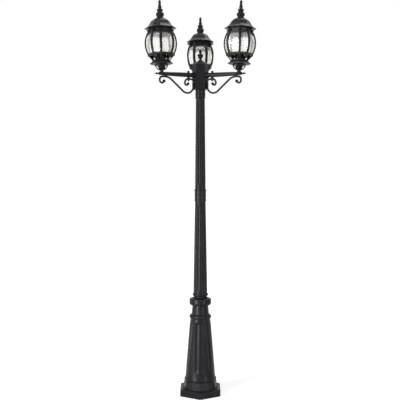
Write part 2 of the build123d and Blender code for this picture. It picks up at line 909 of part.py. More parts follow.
def cage():
    foot = prism(saucer_step_corner, cage_z, cage_z + foot_ring_height)
    foot -= prism(saucer_step_corner - foot_ring_width, cage_z, cage_z + foot_ring_height)
    ring_corner = barrel_corner(glass_z)
    ring = faceted(
        lantern_faces,
        (0, ring_z),
        (barrel_corner(ring_z) - 2, ring_z),
        (ring_corner + 0.8, glass_z - ring_height * 0.6),
        (ring_corner + 0.8, glass_z),
        (0, glass_z),
    )
    ring -= prism(ring_corner - ring_width, ring_z, glass_z)
    top_ring = prism(barrel_corner(frieze_z) + 0.5, top_ring_z, frieze_z)
    frieze = prism(frieze_corner, frieze_z, frieze_z + frieze_height)
    crown = top_ring + frieze - prism(top_ring_inner, top_ring_z, frieze_z)
    crown -= prism(frieze_corner - frieze_wall, frieze_z, frieze_z + frieze_height)
    return foot + [ring, crown, *ribs(), *ears()]


def panes():
    low, high = glass_z + pane_end_gap, top_ring_z - pane_end_gap
    inset = rib_thick + pane_tuck
    shell = (barrel(inset) - barrel(inset + pane_thick)) & slab(far, far, low, high)
    return shell - [Rot(0, 0, angle) * slab(far, pane_gap, low, high) for angle in rib_angles]


def hood_strap():
    half = (frieze_corner - frieze_wall) * math.cos(math.radians(wide_half)) - strap_end_gap
    strap = slab(2 * half, strap_width, frieze_z, frieze_z + strap_thick)
    return strap + cylinder(rod_radius, frieze_z, hood_top_z + rod_above_hood)


def hood():
    shoulder_z = hood_top_z - hood_shoulder_height + 4
    brim_top = hood_z + hood_lip
    shell = faceted(
        lantern_faces,
        (0, hood_z),
        (hood_corner, hood_z),
        (hood_corner, brim_top),
        ((taper(hood_corner, hood_shoulder, 0.7), taper(brim_top, shoulder_z, 0.52)), (hood_shoulder, shoulder_z)),
        ((taper(hood_shoulder, hood_top, 0.36), taper(shoulder_z, hood_top_z, 0.68)), (hood_top, hood_top_z)),
        (0, hood_top_z),
    )
    inner_top = hood_top_z - hood_wall - 1
    inner_shoulder = hood_shoulder - hood_wall
    inner_brim = hood_corner - hood_wall * 2
    ledge_top = hood_z + hood_ledge
    middle = (taper(inner_brim, inner_shoulder, 0.72), taper(ledge_top, shoulder_z - 1, 0.46))
    cavity = faceted(
        lantern_faces,
        (0, ledge_top),
        (inner_brim, ledge_top),
        (middle, (inner_shoulder, shoulder_z - 1)),
        ((taper(inner_shoulder, hood_top - 2, 0.36), taper(shoulder_z - 1, inner_top, 0.66)), (hood_top - 2, inner_top)),
        (0, inner_top),
    )
    shell -= cavity
    shell -= prism(hood_mouth, hood_z, ledge_top)
    return shell - cylinder(hood_hole, inner_top, hood_top_z)


def finial():
    low = hood_top_z + lift
    h = finial_height
    spire = turned(
        (0, low),
        (finial_foot, low),
        (finial_foot, low + 3),
        ((finial_vase, low + h * 0.15), (finial_foot * 0.72, low + h * 0.31)),
        (12.0, low + h * 0.37),
        (12.0, low + h * 0.41),
        (finial_disc, low + h * 0.425),
        (finial_disc, low + h * 0.455),
        (7.5, low + h * 0.49),
        ((9.0, low + h * 0.53), (finial_ring, low + h * 0.565)),
        ((7.0, low + h * 0.66), (3.8, low + h * 0.8)),
        ((finial_tip, low + h * 0.9), (3.0, low + h * 0.97)),
        (0, low + h),
    )
    cutter = Pos(0, 0, low + 5) * capsule((0, 0), (0, finial_flute_length), finial_flute_radius, finial_flute_radius - 0.5)
    spire -= around(finial_flutes, finial_vase + finial_flute_radius * 0.55, cutter)
    return spire - cylinder(rod_radius + play, low, low + rod_above_hood)


def write(name, pieces):
    solids = [solid for piece in (pieces if isinstance(pieces, list) else [pieces]) for solid in piece.solids()]
    shape = solids[0] if len(solids) == 1 else Compound(children=solids)
    export_step(shape, f"parts/{name}.step")


os.makedirs("parts", exist_ok=True)

post_pieces = {
    "base_plate": base_plate(),
    "column_screws": column_screws(),
    "base_column": base_column(),
    "base_collar": base_collar(),
    "lower_shaft": lower_shaft(),
    "shaft_coupling": shaft_coupling(),
    "upper_shaft": upper_shaft(),
    "hub_fitter": hub_fitter(),
    "fitter_screws": fitter_screw_set(),
    "hub_body": hub_body(),
    "hub_cap": hub_cap(),
    "hub_finial": hub_finial(),
    "arm_bolts": [in_arm(name, piece) for name in arm_angles for piece in bolt_and_nut()],
    "scroll_screws": [in_arm(name, scroll_screw_piece()) for name in arm_angles],
}
for node, pieces in post_pieces.items():
    write(node, pieces)

arm_pieces = {
    "arm": arm(),
    "arm_tip": arm_tip(),
    "long_scroll": long_scroll(),
    "short_scroll": short_scroll(),
}
lantern_pieces = {
    "stem": stem(),
    "saucer": saucer(),
    "socket_cup": socket_cup(),
    "lamp_holder": lamp_holder(),
    "bulb_base": bulb_base_piece(),
    "bulb_glass": bulb_glass(),
    "cage": cage(),
    "panes": panes(),
    "hood_strap": hood_strap(),
    "hood": hood(),
    "finial": finial(),
}
for name in arm_angles:
    for node, piece in arm_pieces.items():
        write(f"{node}_{name}", in_arm(name, piece))
    for node, piece in lantern_pieces.items():
        write(f"{node}_{name}", in_lantern(name, piece))
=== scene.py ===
# Triple head lamp post: black powder coat, bent clear panes, bulbs, and the light of a white studio.
# Metres, Z up, the post on the Z axis and the rear lantern along +Y.
import json
import math

import bmesh
import bpy
import numpy as np
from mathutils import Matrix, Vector


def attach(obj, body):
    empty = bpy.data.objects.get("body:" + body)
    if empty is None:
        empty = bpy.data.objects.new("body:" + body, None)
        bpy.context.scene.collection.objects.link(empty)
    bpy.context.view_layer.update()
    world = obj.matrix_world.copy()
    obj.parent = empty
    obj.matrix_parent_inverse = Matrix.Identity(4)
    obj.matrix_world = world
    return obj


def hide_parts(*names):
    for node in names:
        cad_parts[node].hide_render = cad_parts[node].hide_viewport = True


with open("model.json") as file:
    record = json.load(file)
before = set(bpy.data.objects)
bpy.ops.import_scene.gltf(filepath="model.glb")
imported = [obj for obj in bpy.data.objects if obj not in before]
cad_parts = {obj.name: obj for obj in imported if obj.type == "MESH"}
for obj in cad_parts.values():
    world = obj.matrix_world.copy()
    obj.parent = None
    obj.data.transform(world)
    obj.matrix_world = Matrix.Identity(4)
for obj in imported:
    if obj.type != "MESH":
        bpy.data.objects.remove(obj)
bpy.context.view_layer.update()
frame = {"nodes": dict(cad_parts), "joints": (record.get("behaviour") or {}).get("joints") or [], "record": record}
nodes = frame["nodes"]
joints = {j["name"]: j for j in frame["joints"]}
lanterns = ("rear", "left", "right")
print("frame loaded,", len(nodes), "nodes")


def addObject(name, data):
    obj = bpy.data.objects.new(name, data)
    bpy.context.scene.collection.objects.link(obj)
    return obj


# Camera: level, at the photograph's distance

camera = {
    "place": (-0.002, -3.94, 1.205),
    "lens": 61.2,
    "sensor": 36,
    "shiftY": -0.0375,
    "far": 100,
}


def addCamera():
    data = bpy.data.cameras.new("camera")
    data.lens = camera["lens"]
    data.sensor_width = camera["sensor"]
    data.shift_y = camera["shiftY"]
    data.clip_end = camera["far"]
    obj = addObject("camera", data)
    obj.location = camera["place"]
    obj.rotation_euler = (math.radians(90), 0, 0)
    bpy.context.scene.camera = obj


addCamera()
print("camera placed")


# Shader maths written as Python: a Signal is one output socket of a material's tree


class Signal:
    def __init__(self, shader, socket):
        self.shader = shader
        self.socket = socket

    def math(self, operation, other):
        return self.shader.add("ShaderNodeMath", {"operation": operation}, {0: self, 1: other})

    def __add__(self, other):
        return self.math("ADD", other)

    def __mul__(self, other):
        return self.math("MULTIPLY", other)

    def clamp(self):
        return self.math("MAXIMUM", 0.0).math("MINIMUM", 1.0)

    def ramp(self, low, high):  # smooth step from 0 at low to 1 at high
        values = {0: self, 1: low, 2: high, 3: 0.0, 4: 1.0}
        return self.shader.add("ShaderNodeMapRange", {"interpolation_type": "SMOOTHSTEP"}, values)


class Shader:
    def __init__(self, name, owner=None):
        self.material = owner or bpy.data.materials.new(name)
        self.material.use_nodes = True
        self.tree = self.material.node_tree
        self.tree.nodes.clear()

    def add(self, kind, settings=None, values=None, output=0):
        node = self.tree.nodes.new(kind)
        for key, value in (settings or {}).items():
            setattr(node, key, value)
        for key, value in (values or {}).items():
            if isinstance(value, Signal):
                self.tree.links.new(value.socket, node.inputs[key])
            else:
                node.inputs[key].default_value = value
        return Signal(self, node.outputs[output])

    def place(self):  # Object coordinates, in metres
        return self.add("ShaderNodeTexCoord", output="Object")

    def attribute(self, name):
        return self.add("ShaderNodeAttribute", {"attribute_name": name}, output="Fac")

    def seen(self):  # 1 for what the camera sees directly, in a reflection or through glass
        kinds = ("Is Camera Ray", "Is Glossy Ray", "Is Transmission Ray")
        direct, mirrored, through = [self.add("ShaderNodeLightPath", output=kind) for kind in kinds]
        return (direct + mirrored + through).clamp()

    def noise(self, scale, detail, rough=0.5, where=None):
        values = {"Vector": where or self.place(), "Scale": scale, "Detail": detail, "Roughness": rough}
        return self.add("ShaderNodeTexNoise", None, values)

    def mix(self, factor, first, second):
        return self.add("ShaderNodeMix", {"data_type": "RGBA"}, {0: factor, 6: first, 7: second}, 2)

    def bump(self, height, distance, strength, normal=None):
        values = {"Height": height, "Distance": distance, "Strength": strength}
        if normal:
            values["Normal"] = normal
        return self.add("ShaderNodeBump", None, values)

    def surface(self, values):
        return self.finish(self.add("ShaderNodeBsdfPrincipled", None, values))

    def finish(self, signal, kind="ShaderNodeOutputMaterial"):
        out = self.tree.nodes.new(kind)
        self.tree.links.new(signal.socket, out.inputs["Surface"])
        return self.material


# Finishes: a noise is its scale and detail, a relief is a bump's depth and strength

# Powder coat: near black, fine orange peel, softened edges, a little more grey in broad random clouds

powderCoat = {
    "colour": (0.0060, 0.0062, 0.0072, 1),
    "worn": (0.0100, 0.0102, 0.0112, 1),
    "roughness": (0.27, 0.36),
    "specular": 0.12,
    "cloud": (14.0, 4.0),
    "cloudRamp": (0.45, 0.75),
    "cloudShare": 0.6,  # of the roughness, the rest is the grain's
    "grain": (900.0, 2.0),
    "grainRelief": (0.00004, 0.5),
    "grainShare": 0.4,
    "peel": (210.0, 2.0),
    "peelRelief": (0.00008, 0.6),
    "edge": 0.0009,
    "edgeSamples": 4,
}


def makePowderCoat():
    s = Shader("black_powder_coat")
    p = powderCoat
    cloud = s.noise(*p["cloud"])
    grain = s.noise(*p["grain"])
    soft = s.add("ShaderNodeBevel", {"samples": p["edgeSamples"]}, {"Radius": p["edge"]})
    rounded = s.bump(s.noise(*p["peel"]), *p["peelRelief"], soft)
    low, high = p["roughness"]
    return s.surface(
        {
            "Base Color": s.mix(cloud.ramp(*p["cloudRamp"]), p["colour"], p["worn"]),
            "Roughness": (cloud * p["cloudShare"] + grain * p["grainShare"]) * (high - low) + low,
            "Specular IOR Level": p["specular"],
            "Normal": s.bump(grain, *p["grainRelief"], rounded),
        }
    )


# Pane glass: bent sheets with slow waves. Three attributes mark them: the first is 1 on the ground band over the
# arch, which is rougher and is painted with shade, a grey-violet that stands in for the dark frieze and hood seen
# through the glass; "side" rises to 1 beside a rib, and "outer" is 1 on the outer face, which has a film

paneMarks = ("ground", "side", "outer")

paneGlass = {
    "clear": (0.955, 0.955, 0.95, 1),
    "warm": (0.90, 0.885, 0.81, 1),
    # painted shade: the ground band's grey-violet stands in for the dark frieze and hood seen through the glass
    "ground": (0.50, 0.48, 0.54, 1),
    "rim": (0.76, 0.67, 0.62, 1),
    "roughness": 0.012,
    "groundRoughness": 0.3,  # added on the ground band
    "ior": 1.45,
    "film": 0.22,  # share of dust and daylight on the outer face
    "filmRoughness": 0.3,
    "waves": (34.0, 2.0, 0.4),
    "wavesRelief": (0.0005, 0.4),
    "upward": 0.1,  # the waves' scale upward, as a share of that across
    "warmRamp": (0.46, 0.72),
    "warmShare": 0.8,
    "rimRamp": (0.38, 0.60),
}


def makePaneGlass():
    s = Shader("pane_glass")
    p = paneGlass
    ground, side, outer = [s.attribute(name) for name in paneMarks]
    upright = s.add("ShaderNodeMapping", None, {"Vector": s.place(), "Scale": (1.0, 1.0, p["upward"])})
    waves = s.noise(*p["waves"], upright)
    tint = s.mix(waves.ramp(*p["warmRamp"]) * p["warmShare"], p["clear"], p["warm"])
    sided = s.mix(side * waves.ramp(*p["rimRamp"]), tint, p["rim"])
    # the ground band's painted shade colour is mixed over the tint where the band's mark is 1
    both = {"Base Color": s.mix(ground, sided, p["ground"]), "Normal": s.bump(waves, *p["wavesRelief"])}
    roughness = ground * p["groundRoughness"] + p["roughness"]
    glass = both | {"Transmission Weight": 1.0, "Roughness": roughness, "IOR": p["ior"]}
    film = both | {"Roughness": p["filmRoughness"]}
    layers = [s.add("ShaderNodeBsdfPrincipled", None, values) for values in (glass, film)]
    return s.finish(s.add("ShaderNodeMixShader", None, {0: outer * p["film"], 1: layers[0], 2: layers[1]}))


bulbGlass = {
    "colour": (0.98, 0.98, 0.97, 1),
    "roughness": 0.01,
    "ior": 1.45,
    "ripple": (60.0, 1.0),
    "relief": (0.0002, 0.3),
}


def makeBulbGlass():
    s = Shader("bulb_clear_glass")
    p = bulbGlass
    return s.surface(
        {
            "Base Color": p["colour"],
            "Transmission Weight": 1.0,
            "Roughness": p["roughness"],
            "IOR": p["ior"],
            "Normal": s.bump(s.noise(*p["ripple"]), *p["relief"]),
        }
    )


# Small parts: a noise blends two colours and roughens them by its span, and it or a second one is the relief

smallFinishes = {
    "bulb_brass": {
        "noise": (180.0, 4.0),
        "ramp": (0.5, 0.8),
        "colours": ((0.78, 0.60, 0.30, 1), (0.52, 0.38, 0.20, 1)),
        "metallic": 1.0,
        "roughness": (0.22, 0.25),  # base and span
        "second": (900.0, 2.0),
        "relief": (0.00005, 0.4),
    },
    "holder_ceramic": {
        "noise": (500.0, 2.0),
        "ramp": (0.55, 0.7),
        "colours": ((0.80, 0.77, 0.70, 1), (0.72, 0.69, 0.62, 1)),
        "metallic": 0.0,
        "roughness": (0.28, 0.15),
        "second": (90.0, 2.0),
        "relief": (0.0002, 0.4),
    },
    "screw_steel": {
        "noise": (700.0, 3.0),
        "colours": ((0.42, 0.42, 0.43, 1), (0.55, 0.55, 0.56, 1)),
        "metallic": 1.0,
        "roughness": (0.28, 0.25),
        "relief": (0.00005, 0.5),
    },
    "blackened_steel": {
        "noise": (600.0, 3.0),
        "colours": ((0.012, 0.012, 0.013, 1), (0.022, 0.022, 0.024, 1)),
        "metallic": 0.6,
        "roughness": (0.34, 0.2),
        "relief": (0.00004, 0.5),
    },
    "bulb_wire": {
        "noise": (2000.0, 2.0),
        "colours": ((0.34, 0.33, 0.32, 1), (0.50, 0.49, 0.47, 1)),
        "metallic": 1.0,
        "roughness": (0.3, 0.2),
        "relief": (0.00002, 0.4),
    },
}


def makeSmall(name):
    s = Shader(name)
    p = smallFinishes[name]
    grain = s.noise(*p["noise"])
    base, span = p["roughness"]
    return s.surface(
        {
            "Base Color": s.mix(grain.ramp(*p["ramp"]) if "ramp" in p else grain, *p["colours"]),
            "Metallic": p["metallic"],
            "Roughness": grain * span + base,
            "Normal": s.bump(s.noise(*p["second"]) if "second" in p else grain, *p["relief"]),
        }
    )


finishes = {
    "black_coat": makePowderCoat(),
    "clear_glass": makePaneGlass(),
    "bulb_glass": makeBulbGlass(),
    "bulb_cap": makeSmall("bulb_brass"),
    "holder_plastic": makeSmall("holder_ceramic"),
    "screw_steel": makeSmall("screw_steel"),
}
darkSteel = makeSmall("blackened_steel")
wireFinish = makeSmall("bulb_wire")
print("materials made:", ", ".join(finishes))


# CAD nodes: the flat-sided castings keep the normals of their own faces, the turned ones are smoothed

flatSided = ("hood", "saucer", "cage", "hub_cap", "hub_body", "base_plate")

smoothing = {
    "weld": 0.00001,
    "nodeCrease": 21,  # degrees
    "castCrease": 24,
    "strapCrease": 40,
}


def smooth(obj):
    obj.data.polygons.foreach_set("use_smooth", np.ones(len(obj.data.polygons), bool))


def splitEdges(obj, degrees):
    split = obj.modifiers.new("split", "EDGE_SPLIT")
    split.split_angle = math.radians(degrees)


def dressNodes():
    slots = {row["node"]: row["material_slot"] for row in frame["record"]["subparts"]}
    for name, obj in nodes.items():
        obj.data.materials.clear()
        obj.data.materials.append(darkSteel if name == "fitter_screws" else finishes[slots[name]])
        if name in flatSided or name.rsplit("_", 1)[0] in flatSided:
            continue
        smooth(obj)
        weld = obj.modifiers.new("weld", "WELD")
        weld.merge_threshold = smoothing["weld"]
        splitEdges(obj, smoothing["nodeCrease"])


dressNodes()
print("nodes dressed")


# A lantern's own frame: its foot on the arm's axis, then out, across and up as the rows of a matrix

pivotHeight = 0.090  # of the bulb's joint above the arm's axis
armReach = 0.250  # from the post's axis to the lantern's foot


def lanternFrame(name):
    joint = joints["bulb_turn_" + name]
    up = np.array(joint["axis"])
    foot = np.array(joint["pos_m"]) - up * pivotHeight
    out = foot * (1, 1, 0)
    out = out - up * (out @ up)
    out = out / np.linalg.norm(out)
    return foot, np.array([out, np.cross(up, out), up])


# Outlines and surfaces: an outline is radius and height, a surface is a grid of points and its quads

fineness = {
    "arcStep": 8,  # degrees
    "arcLeast": 3,  # steps
    "turned": 48,
    "rod": 16,
    "ball": (19, 32),  # from pole to pole, and round
    "tube": 8,
}


def arcThrough(start, middle, end):
    # points on the circle through three points, one for about every arc step, without the first
    a, b, c = complex(*start), complex(*middle), complex(*end)
    w = (c - a) / (b - a)
    centre = a - (a - b) * (w - abs(w) ** 2) / (2j * w.imag)
    sweep = np.angle((b - centre) / (a - centre)) + np.angle((c - centre) / (b - centre))
    steps = max(fineness["arcLeast"], math.ceil(abs(math.degrees(sweep)) / fineness["arcStep"]))
    share = np.linspace(0, 1, steps + 1)[1:]
    points = centre + (a - centre) * np.exp(1j * sweep * share)
    return np.stack([points.real, points.imag], -1)


def outlineOf(start, *steps):  # a step is a point, or two points for an arc through the first to the second
    parts = [np.array([start])]
    for step in steps:
        isArc = isinstance(step[0], tuple)
        parts.append(arcThrough(parts[-1][-1], *step) if isArc else np.array([step]))
    return np.concatenate(parts)


def roundAngles(count):
    return np.linspace(0, 2 * math.pi, count, endpoint=False)


def gridFaces(rows, columns, closed=False, loop=False):  # quads of a grid whose points run row by row
    row, column = np.meshgrid(
        np.arange(rows if loop else rows - 1), np.arange(columns if closed else columns - 1), indexing="ij"
    )
    above, after = (row + 1) % rows * columns, (column + 1) % columns
    row = row * columns
    return np.stack([row + column, row + after, above + after, above + column], -1).reshape(-1, 4)


def surfaceOf(grid, loop=False):  # columns always close; rows close too where the outline is a loop
    rows, columns = grid.shape[:2]
    return grid.reshape(-1, 3), gridFaces(rows, columns, True, loop)


def carried(outline, angles, loop=False):  # an outline carried round the axis
    radius, height = outline[:, :1], outline[:, 1:]
    grid = np.stack([radius * np.cos(angles), radius * np.sin(angles), height + 0 * angles], -1)
    return surfaceOf(grid, loop)


def turned(outline, loop=False, around=fineness["turned"]):
    return carried(outline, roundAngles(around), loop)


def faceted(outline, loop=False):  # eight flat sides whose corners follow the outline
    return carried(outline, cornerAngles, loop)


def capped(rings):  # closed rings in a row, the ends filled to their middles
    ends = [np.repeat(ring.mean(0)[None], rings.shape[1], 0)[None] for ring in (rings[0], rings[-1])]
    return surfaceOf(np.concatenate([ends[0], rings, ends[1]]))


def unit(vectors):
    return vectors / np.linalg.norm(vectors, axis=1)[:, None]


def swept(path, aside, across):  # a closed section carried along a path in the plane of out and up
    ahead = unit(np.gradient(path, axis=0))
    side = np.stack([-ahead[:, 1], ahead[:, 0]], -1)
    flat = path[:, None] + side[:, None] * aside[None, :, None]
    return capped(np.stack([flat[..., 0], np.broadcast_to(across, flat.shape[:2]), flat[..., 1]], -1))


def bar(path, width, thick):
    corners = np.array([(-1, -1), (1, -1), (1, 1), (-1, 1)]) * 0.5
    return swept(path, corners[:, 0] * thick, corners[:, 1] * width)


def rod(path, radius):
    angle = roundAngles(fineness["rod"])
    return swept(path, radius * np.cos(angle), radius * np.sin(angle))


def straight(start, end):  # a path of three points
    return np.array([start, [0.5 * (a + b) for a, b in zip(start, end)], end])


def tube(path, radius, around=fineness["tube"]):  # a circle carried along a path in space, square to it
    ahead = unit(np.gradient(path, axis=0))
    aslant = np.array([0.31, 0.17, 0.93])  # any direction that no path here follows
    side = unit(np.cross(ahead, aslant))
    angle = roundAngles(around)[None, :, None]
    ring = side[:, None] * np.cos(angle) + np.cross(ahead, side)[:, None] * np.sin(angle)
    return capped(path[:, None] + ring * radius)


def moved(part, out, up=0.0):
    return part[0] + np.array([out, 0, up]), part[1]


def spun(part, degrees):  # a part turned about the axis
    c, s = math.cos(math.radians(degrees)), math.sin(math.radians(degrees))
    return part[0] @ np.array([[c, s, 0], [-s, c, 0], [0, 0, 1]]), part[1]


def ringOf(part, degrees):
    return [spun(part, turn) for turn in degrees]


def joined(parts):
    starts = np.cumsum([0] + [len(points) for points, _ in parts])
    faces = [faces + start for (_, faces), start in zip(parts, starts)]
    return np.concatenate([points for points, _ in parts]), np.concatenate(faces)


def ball(centre, radius):  # half a circle turned about the axis and moved out to its centre
    rise, around = fineness["ball"]
    t = np.linspace(-math.pi / 2, math.pi / 2, rise)
    outline = np.stack([radius * np.cos(t), centre[1] + radius * np.sin(t)], -1)
    return moved(turned(outline, around=around), centre[0])


# Pieces: cleaned meshes that ride on a body, in place of CAD nodes where they are named

cleaning = {
    "double": 1e-6,
    "sliver": 1e-7,
}


def addPiece(name, part, body, slot, lantern=None, instead=(), attributes=None, crease=None, finish=None):
    points, faces = part
    if lantern:
        foot, axes = lanternFrame(lantern)
        points = points @ axes + foot
    mesh = bpy.data.meshes.new(name)
    mesh.from_pydata(points.tolist(), [], faces.tolist())
    for key, values in (attributes or {}).items():
        mesh.attributes.new(key, "FLOAT", "POINT").data.foreach_set("value", values.astype(np.float32))
    shape = bmesh.new()
    shape.from_mesh(mesh)
    bmesh.ops.remove_doubles(shape, verts=shape.verts, dist=cleaning["double"])
    bmesh.ops.dissolve_degenerate(shape, edges=shape.edges, dist=cleaning["sliver"])
    bmesh.ops.recalc_face_normals(shape, faces=shape.faces)
    shape.to_mesh(mesh)
    shape.free()
    mesh.materials.append(finish or finishes[slot])
    piece = addObject(name, mesh)
    smooth(piece)
    if crease:
        splitEdges(piece, crease)
    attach(piece, body)
    if instead:
        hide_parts(*instead)


def addCastings(parts, moving=False):  # black pieces in place of the nodes of the same names
    for lantern in lanterns:
        for name, part in parts.items():
            node = name + "_" + lantern
            body = node if moving else "post"
            crease = smoothing["castCrease"]
            addPiece("cast_" + node, part, body, "black_coat", lantern, [node], crease=crease)


# Cage: eight bowed ribs on a barrel of eight sides, two rings, a frieze, rolled ears and a vented floor

cage = {
    "wideHalf": 26.5,  # half the angle of a wide side, in degrees
    "belly": 0.0911,  # corner radius at its widest
    "bow": 0.128,  # radius of the ribs' curve
    "bellyHeight": 0.168,
    "ribThick": 0.0045,
    "ribWidth": (0.0115, 0.0160),  # at the foot and at the head
    "ribSteps": 40,
    "foot": 0.070,
    "footRing": (0.043, 0.052, 0.0035),  # inner and outer corner, height
    "ring": (0.0965, 0.110),  # the band under the panes
    "ringProud": 0.0008,  # of the barrel
    "ringProfile": (  # from the rim and the band's foot
        (-0.015, 0.009), (-0.006, 0), (-0.0025, 0), (-0.001, 0.002),
        ((-0.0018, 0.0065), (0, 0.011)), (0, 0.0135), (-0.015, 0.0135),
    ),
    "vents": 8,
    "ventPanel": (0.0250, 0.0655),  # from the axis to the corners of a panel
    "ventHeights": (0.1052, 0.1068),
    "ventCircle": 0.044,
    "ventRadius": 0.0065,
    "ventSteps": 8,  # on each side of a panel
    "topRing": (0.2185, 0.2235),
    "topRingInner": 0.058,
    "topRingProud": 0.0005,
    "frieze": (0.2235, 0.2491),
    "friezeCorner": 0.067,
    "friezeWall": 0.0035,
    "ear": (0.0052, 0.0020, 0.015),  # outer and inner radius, width
    "earHeight": 0.238,
    "earSink": 0.0008,
    "earSteps": 20,
}

ribDegrees = [90 * k + side * cage["wideHalf"] for k in range(4) for side in (-1, 1)]
cornerAngles = np.radians(ribDegrees)


def barrelCorner(height, inset=0.0):  # corner radius of the barrel: an arc about the belly
    bow = cage["bow"] - inset
    return cage["belly"] - cage["bow"] + np.sqrt(bow**2 - (height - cage["bellyHeight"]) ** 2)


def box(inner, outer, low, high):  # outline of a ring with a square section
    return np.array([(inner, low), (outer, low), (outer, high), (inner, high)])


def ribAt(side):
    # rows climb the rib; each row is six points, an outer and an inner ridge with a flank on either side,
    # and a flank falls back as its side of the barrel does: by its distance from the ridge times a tangent
    height = np.linspace(cage["foot"], cage["earHeight"], cage["ribSteps"])
    share = (height - height[0]) / (height[-1] - height[0])
    foot, head = cage["ribWidth"]
    half = 0.5 * (foot + (head - foot) * share)
    across = np.array([-1, 0, 1, 1, 0, -1])
    wide = math.tan(math.radians(cage["wideHalf"]))
    narrow = math.tan(math.radians(45 - cage["wideHalf"]))
    slope = np.where(across * side < 0, wide, narrow) * np.abs(across)
    inset = np.array([0, 0, 0, 1, 1, 1]) * cage["ribThick"]
    corner = barrelCorner(height[:, None], inset[None])
    radius = corner - half[:, None] * slope
    return capped(np.stack([radius, half[:, None] * across, height[:, None] + 0 * radius], -1))


def ventedPanel():
    # a wedge of the floor with a round hole: a column runs from the hole to the wedge's edge and back below
    inner, outer = cage["ventPanel"]
    turn = np.exp(1j * math.pi / cage["vents"])
    corners = [inner / turn, outer / turn, outer * turn, inner * turn]
    t = np.linspace(0, 1, cage["ventSteps"], endpoint=False)
    edge = np.concatenate([a + (b - a) * t for a, b in zip(corners, corners[1:] + corners[:1])])
    centre = cage["ventCircle"]
    hole = centre + (edge - centre) / np.abs(edge - centre) * cage["ventRadius"]
    low, high = cage["ventHeights"]
    rows = [(hole, high), (edge, high), (edge, low), (hole, low)]
    grid = np.stack([np.stack([row.real, row.imag, np.full(len(row), height)], -1) for row, height in rows])
    return surfaceOf(grid, True)


def earRoll():
    outer, inner, width = cage["ear"]
    points, faces = turned(box(inner, outer, -width / 2, width / 2), True, cage["earSteps"])
    out = barrelCorner(cage["earHeight"]) - cage["earSink"]
    return moved((points[:, [0, 2, 1]], faces), out, cage["earHeight"])


def cageParts():
    c = cage
    inner, outer, height = c["footRing"]
    low, high = c["ring"]
    ring = outlineOf(*c["ringProfile"]) + (barrelCorner(high) + c["ringProud"], low)
    crown = barrelCorner(c["topRing"][1]) + c["topRingProud"]
    parts = [
        faceted(box(inner, outer, c["foot"], c["foot"] + height), True),
        faceted(ring, True),
        faceted(box(c["topRingInner"], crown, *c["topRing"]), True),
        faceted(box(c["friezeCorner"] - c["friezeWall"], c["friezeCorner"], *c["frieze"]), True),
    ]
    ribs = (ribAt(-1), ribAt(1))
    parts += [spun(ribs[k % 2], degrees) for k, degrees in enumerate(ribDegrees)]
    parts += ringOf(earRoll(), ribDegrees)
    parts += ringOf(ventedPanel(), [360 / c["vents"] * (k + 0.5) for k in range(c["vents"])])
    return joined(parts)


addCastings({"cage": cageParts()})
print("cages cast")


# Stem, saucer and socket cup under the cage

stand = {
    "neck": 0.010,
    "neckTop": 0.0227,
    "body": 0.0126,
    "bodyFoot": 0.0250,
    "fillet": (0.0006, 0.002),  # of the body under the flange: its middle and its end
    "flange": 0.037,
    "foot": 0.011,
    "flangeHeight": (0.044, 0.050),
    "legPath": ((0.0090, 0.0205), (0.0262, 0.0300), (0.0338, 0.0470)),
    "legWidth": 0.0062,
    "legThick": 0.0054,
    "legs": 6,
    "saucerCorner": 0.064,
    "saucerFoot": 0.054,
    "saucerArc": (0.0566, 0.0632),
    "saucerStep": 0.052,
    "saucerHeights": (0.050, 0.0525, 0.0590, 0.070),
    "cupRadius": 0.026,
    "cupWall": 0.0015,
    "cupTop": 0.105,
}


def stemParts():
    d = stand
    neck, body, flange = d["neck"], d["body"], d["flange"]
    low, top = d["flangeHeight"]
    middle, fillet = d["fillet"]
    outline = outlineOf(
        (0, d["foot"]), (neck, d["foot"]), (neck, d["neckTop"]), (body, d["bodyFoot"]), (body, low - fillet),
        ((body + middle, low - middle), (body + fillet, low)), (flange, low), (flange, top), (0, top),
    )
    start, through, end = d["legPath"]
    leg = bar(outlineOf(start, (through, end)), d["legWidth"], d["legThick"])
    return joined([turned(outline)] + ringOf(leg, [360 / d["legs"] * (k + 0.5) for k in range(d["legs"])]))


def saucerPart():
    d = stand
    low, edge, rim, top = d["saucerHeights"]
    corner = d["saucerCorner"]
    shoulder = (d["saucerArc"], (d["saucerStep"], top))
    outline = outlineOf((0, low), (d["saucerFoot"], low), (corner, edge), (corner, rim), shoulder, (0, top))
    return faceted(outline)


def cupPart():
    d = stand
    low, high, outer = d["saucerHeights"][-1], d["cupTop"], d["cupRadius"]
    inner, floor = outer - d["cupWall"], low + d["cupWall"]
    return turned(outlineOf((0, low), (outer, low), (outer, high), (inner, high), (inner, floor), (0, floor)))


addCastings({"stem": stemParts(), "saucer": saucerPart(), "socket_cup": cupPart()})
print("stems, saucers and cups cast")


# Hood: an eight-sided bell with a flared brim, a wall and a hole for the rod

hood = {
    "corner": 0.0895,
    "low": 0.2493,
    "lip": 0.003,
    "wall": 0.003,
    "sink": 0.001,  # of the inner face, more than the wall
    "shoulder": (0.0595, 0.2786),
    "top": (0.0275, 0.3070),
    "mouth": 0.061,
    "hole": 0.0036,
    "flare": (0.57, 0.42),  # the arcs' middles, as shares of the way in and up
    "dome": (0.40, 0.64),
    "innerDome": (0.40, 0.62),
    "innerFlare": (0.62, 0.42),
}


def between(start, end, shares):
    return tuple(a + (b - a) * share for a, b, share in zip(start, end, shares))


